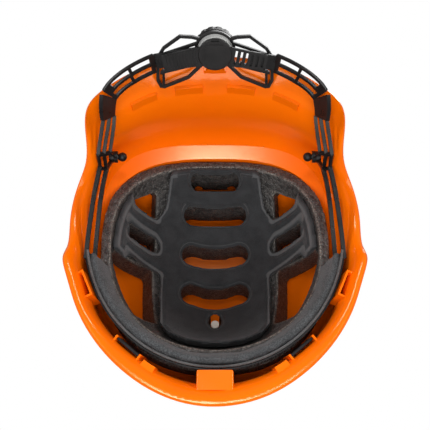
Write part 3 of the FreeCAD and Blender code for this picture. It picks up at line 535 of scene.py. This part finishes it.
def tube(name, points, radius):
    """A round tube through the points, as a mesh with closed ends."""
    work = bmesh.new()
    rings = []
    for index, point in enumerate(points):
        ahead = points[min(index + 1, len(points) - 1)] - points[max(index - 1, 0)]
        across = ahead.cross(Vector((0, 0, 1))).normalized()
        up = across.cross(ahead).normalized()
        ring = []
        for step in range(TUBE_SIDES):
            turn = 2 * math.pi * step / TUBE_SIDES
            offset = across * math.cos(turn) + up * math.sin(turn)
            ring.append(work.verts.new(point + offset * radius))
        rings.append(ring)
    for first, second in zip(rings, rings[1:]):
        for step in range(TUBE_SIDES):
            after = (step + 1) % TUBE_SIDES
            work.faces.new((first[step], first[after], second[after], second[step]))
    work.faces.new(rings[0])
    work.faces.new(rings[-1])
    bmesh.ops.recalc_face_normals(work, faces=work.faces)
    mesh = bpy.data.meshes.new(name)
    work.to_mesh(mesh)
    work.free()
    obj = bpy.data.objects.new(name, mesh)
    bpy.context.scene.collection.objects.link(obj)
    shade_smooth(obj)
    return obj


def brow_piping():
    """The sewn piping along the forehead pad's lower outer edge."""
    low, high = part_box("forehead_pad")
    depth = AXIS_Y - low.y - PIPING_RADIUS
    end = math.acos((AXIS_Y - high.y + PIPING_RADIUS) / depth)
    width = (high.x - PIPING_RADIUS) / math.sin(end)
    height = low.z + PIPING_RADIUS / 2
    points = []
    for step in range(PIPING_STEPS + 1):
        turn = end * (2 * step / PIPING_STEPS - 1)
        points.append(Vector((width * math.sin(turn), AXIS_Y - depth * math.cos(turn), height)))
    piping = tube("brow_piping", points, PIPING_RADIUS)
    dress(piping, piping_cloth())
    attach(piping, "helmet")


def rail_link(name, sign, ends):
    """A flexing length of rail that carries a front rail over the tilt joint into the arm."""
    start, end = (Vector((sign * x, y, z)) for x, y, z in ends)
    points = [start.lerp(end, step / LINK_STEPS) for step in range(LINK_STEPS + 1)]
    link = tube(name, points, RAIL_HALF)
    dress(link, gloss_black)
    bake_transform(link)


def flexing_strap(side):
    """A nape strap that follows the cradle at its outer end and the size strap at its inner end."""
    node = "nape_strap_" + side
    strap = welded_copy(node, "flex_strap_" + side)
    change = strap.modifiers.new("bevel", "BEVEL")
    change.width = PLASTIC_BEVEL
    change.segments = BEVEL_SEGMENTS
    change.limit_method = "ANGLE"
    apply_modifiers(strap)
    shade_smooth(strap)
    low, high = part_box(node)
    outer, inner = (low.x, high.x) if side == "left" else (high.x, low.x)
    sign = math.copysign(1, outer)
    for vertex in strap.data.vertices:
        at_tab = max(0.0, 1 - (vertex.co.y - low.y) / STRAP_END)
        at_rack = max(0.0, 1 - abs(vertex.co.x - inner) / STRAP_END)
        for share, (x, y, z) in ((at_tab, STRAP_TO_TAB), (at_rack, STRAP_TO_RACK)):
            vertex.co += Vector((sign * x, y, z)) * share
    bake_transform(strap)
    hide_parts(node)
    return strap


# ---------------------------------------------------------------- light, floor, camera

def area_light(name, place, aim, size, power):
    """A soft light of size (along the horizon, upwards)."""
    data = bpy.data.lights.new(name, "AREA")
    data.shape = "RECTANGLE"
    data.size, data.size_y = size
    data.energy = power
    lamp = bpy.data.objects.new(name, data)
    bpy.context.scene.collection.objects.link(lamp)
    lamp.location = place
    lamp.rotation_mode = "QUATERNION"
    lamp.rotation_quaternion = (Vector(aim) - Vector(place)).to_track_quat("-Z", "Y")


def studio():
    world = bpy.data.worlds.new("studio")
    bpy.context.scene.world = world
    world.use_nodes = True
    tree = world.node_tree
    background = tree.nodes["Background"]
    background.inputs["Color"].default_value = (1, 1, 1, 1)
    path = tree.nodes.new("ShaderNodeLightPath")
    strength = tree.nodes.new("ShaderNodeMapRange")
    strength.inputs["To Min"].default_value = WORLD_LIGHT
    strength.inputs["To Max"].default_value = WORLD_SEEN
    tree.links.new(path.outputs["Is Camera Ray"], strength.inputs["Value"])
    tree.links.new(strength.outputs["Result"], background.inputs["Strength"])
    for light in LIGHTS:
        area_light(*light)


def floor():
    bpy.ops.mesh.primitive_plane_add(size=FLOOR_SIZE, location=(0, 0, cad_low.z - FLOOR_GAP))
    plane = bpy.context.object
    plane.name = "floor"
    dress(plane, one_sided_floor())
    plane.visible_shadow = False
    plane.visible_diffuse = False
    plane.visible_glossy = False


def camera():
    turn = math.radians(CAMERA_ELEVATION)
    forward = Vector((0, math.cos(turn), math.sin(turn)))
    up = Vector((0, math.sin(turn), -math.cos(turn)))
    right = forward.cross(up)
    data = bpy.data.cameras.new("camera")
    data.lens = CAMERA_LENS
    data.sensor_width = CAMERA_SENSOR
    data.clip_start, data.clip_end = CAMERA_CLIP
    eye = bpy.data.objects.new("camera", data)
    bpy.context.scene.collection.objects.link(eye)
    turned = Matrix((right, up, -forward)).transposed().to_4x4()
    eye.matrix_world = Matrix.Translation(-forward * CAMERA_DISTANCE) @ turned
    bpy.context.scene.camera = eye


# ---------------------------------------------------------------- the scene

foam_liner()
comfort_pad()
brow_pad()

orange = shell_plastic()
gloss_black = moulded("gloss_black", BLACK, BLACK_WORN, 0.30)
satin_black = moulded("satin_black", BLACK, BLACK_WORN, 0.42)
housing_grey = moulded("housing_grey", HOUSING_GREY, HOUSING_WORN, 0.30)
plug_grey = moulded("plug_grey", PLUG_GREY, PLUG_WORN, 0.5)
acetal = moulded("acetal", ACETAL, ACETAL_WORN, 0.4)

FINISHES = {
    "outer_shell": orange,
    "crown_pad_plug": plug_grey,
    "headband_front": gloss_black,
    "pivot_pin_left": gloss_black,
    "pivot_pin_right": gloss_black,
    "side_arm_left": gloss_black,
    "side_arm_right": gloss_black,
    "nape_cradle": gloss_black,
    "ratchet_housing": housing_grey,
    "ratchet_cover": satin_black,
    "rack_left": gloss_black,
    "rack_right": gloss_black,
    "drive_pinion": acetal,
    "detent_ring": acetal,
    "adjuster_knob": satin_black,
    "knob_screw": zinc_steel(),
    "headlamp_clip_left": satin_black,
    "headlamp_clip_right": satin_black,
}
for node, material in FINISHES.items():
    dress(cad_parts[node], material)
    bevelled(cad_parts[node], SHELL_BEVEL if node == "outer_shell" else PLASTIC_BEVEL)

brow_piping()
for side, sign in (("left", -1), ("right", 1)):
    dress(flexing_strap(side), gloss_black)
    for number, ends in enumerate(RAIL_LINKS):
        rail_link(f"rail_link_{side}_{number + 1}", sign, ends)

studio()
floor()
camera()
bpy.context.scene.view_settings.view_transform = "Standard"
